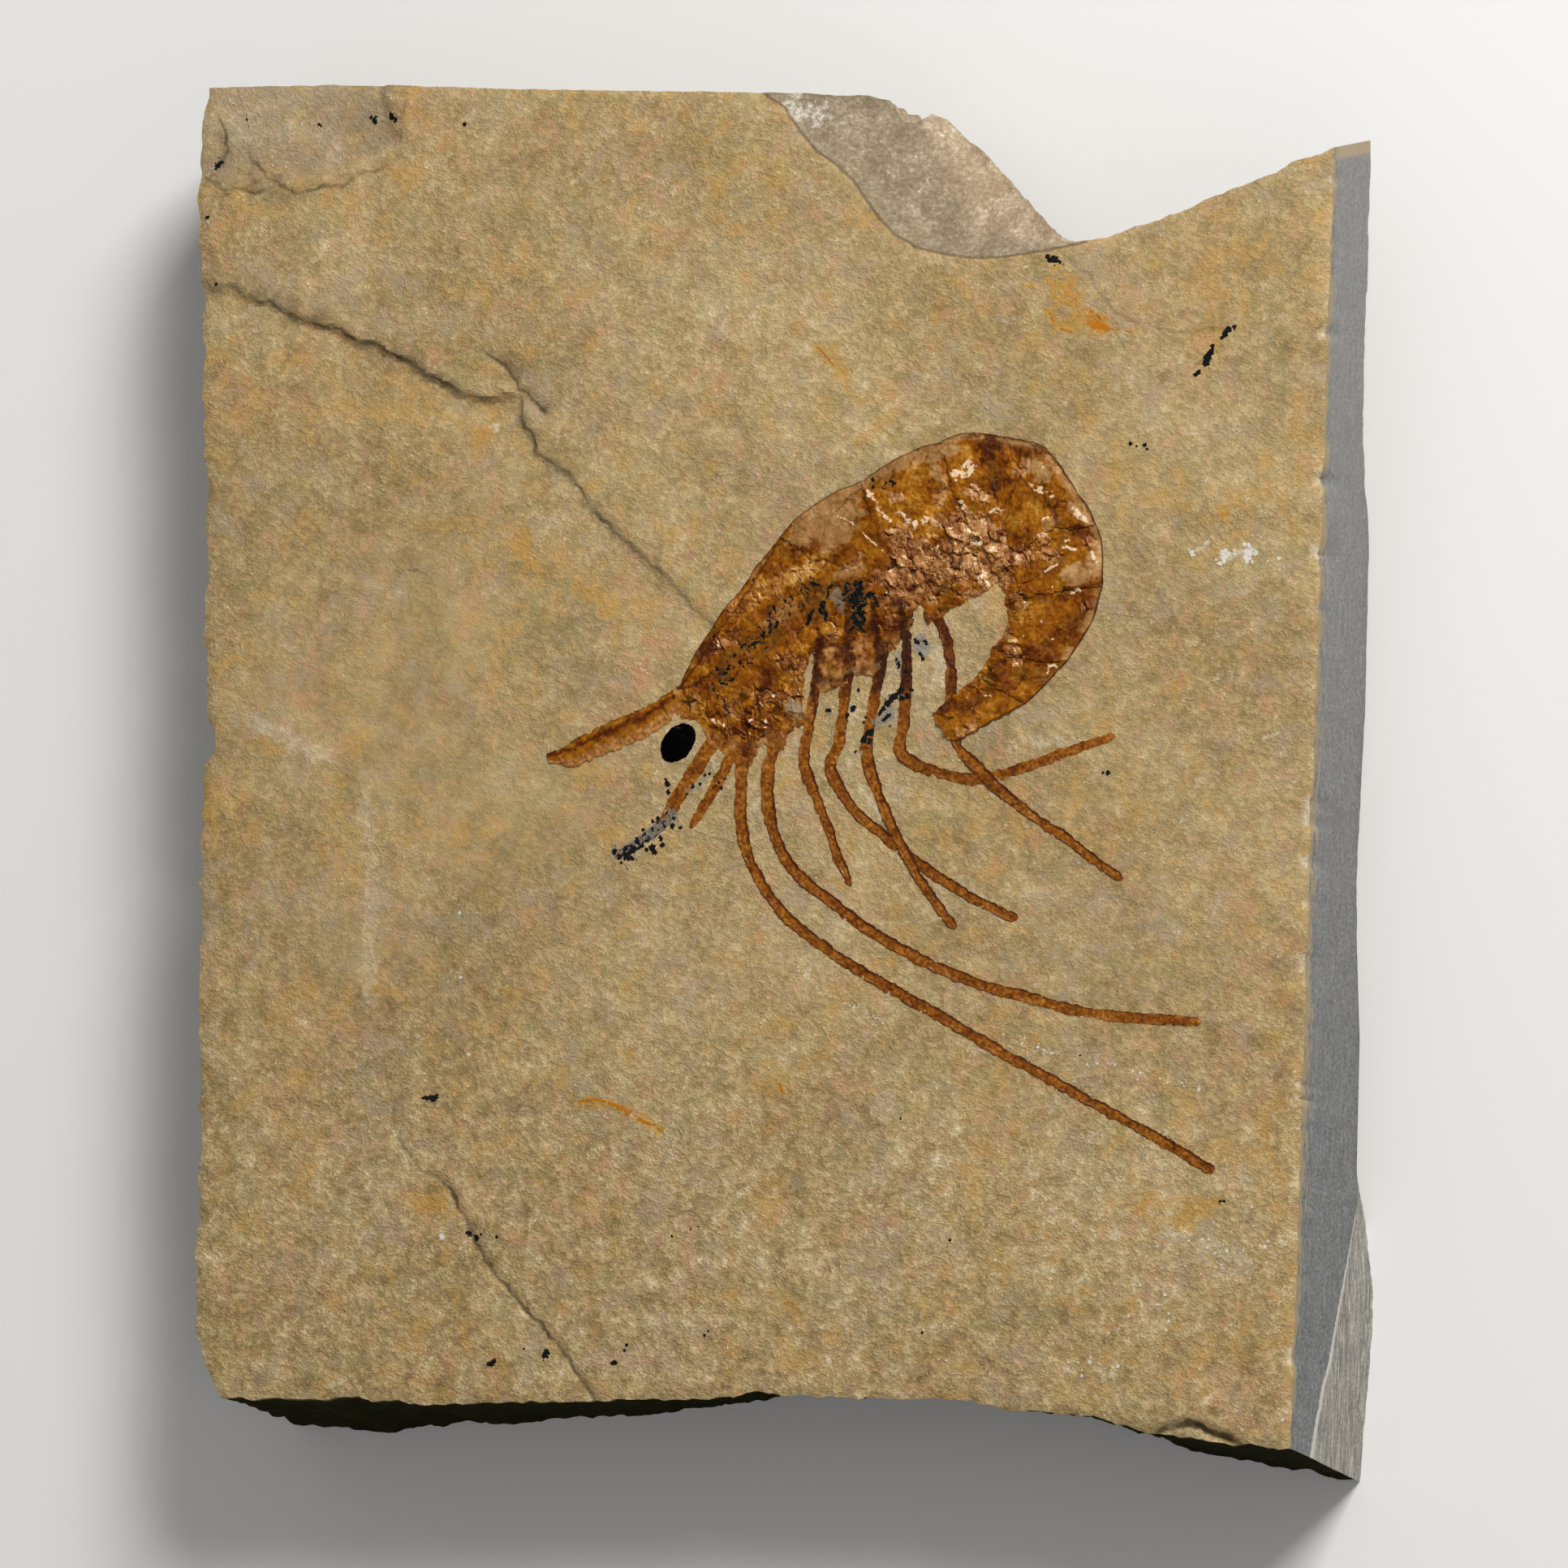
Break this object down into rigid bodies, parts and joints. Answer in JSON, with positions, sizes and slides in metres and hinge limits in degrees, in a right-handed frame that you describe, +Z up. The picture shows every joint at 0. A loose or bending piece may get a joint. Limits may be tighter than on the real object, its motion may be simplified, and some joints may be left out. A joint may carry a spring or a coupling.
{
  "type": "fossil shrimp on a limestone slab",
  "caption": "Flattened fossil shrimp with curled abdomen, trailing legs and long antennae on a sawn and chipped slab of pale limestone.",
  "frame": {"origin": "centre of the bounding box in plan, on the flat underside that the slab rests on", "axes": "+Z up, out of the split face with the shrimp. +Y along the slab's longer side, toward the end with the large chip. +X toward the sawn side, away from the shrimp's rostrum."},
  "size_m": [0.1044, 0.1178, 0.0179],
  "materials": {
    "limestone": "fine-grained split limestone, sawn on one side",
    "shell": "amber to brown fossil shell, partly glossy",
    "tail": "reddish brown crumbly fossil shell",
    "limb": "thin brown fossil film",
    "eye": "black, slightly shiny"
  },
  "bodies": {
    "root": {"slab": "limestone", "carapace": "shell", "rostrum": "shell", "eye": "eye", "abdomen_1": "shell", "abdomen_2": "shell", "abdomen_3": "shell", "abdomen_4": "shell", "abdomen_5": "shell", "abdomen_6": "tail", "tail_fan": "tail", "antennule_1": "limb", "antennule_2": "limb", "antenna_1": "limb", "antenna_2": "limb", "leg_1": "limb", "leg_2": "limb", "leg_3": "limb", "leg_4": "limb", "leg_5": "limb"}
  },
  "joints": []
}
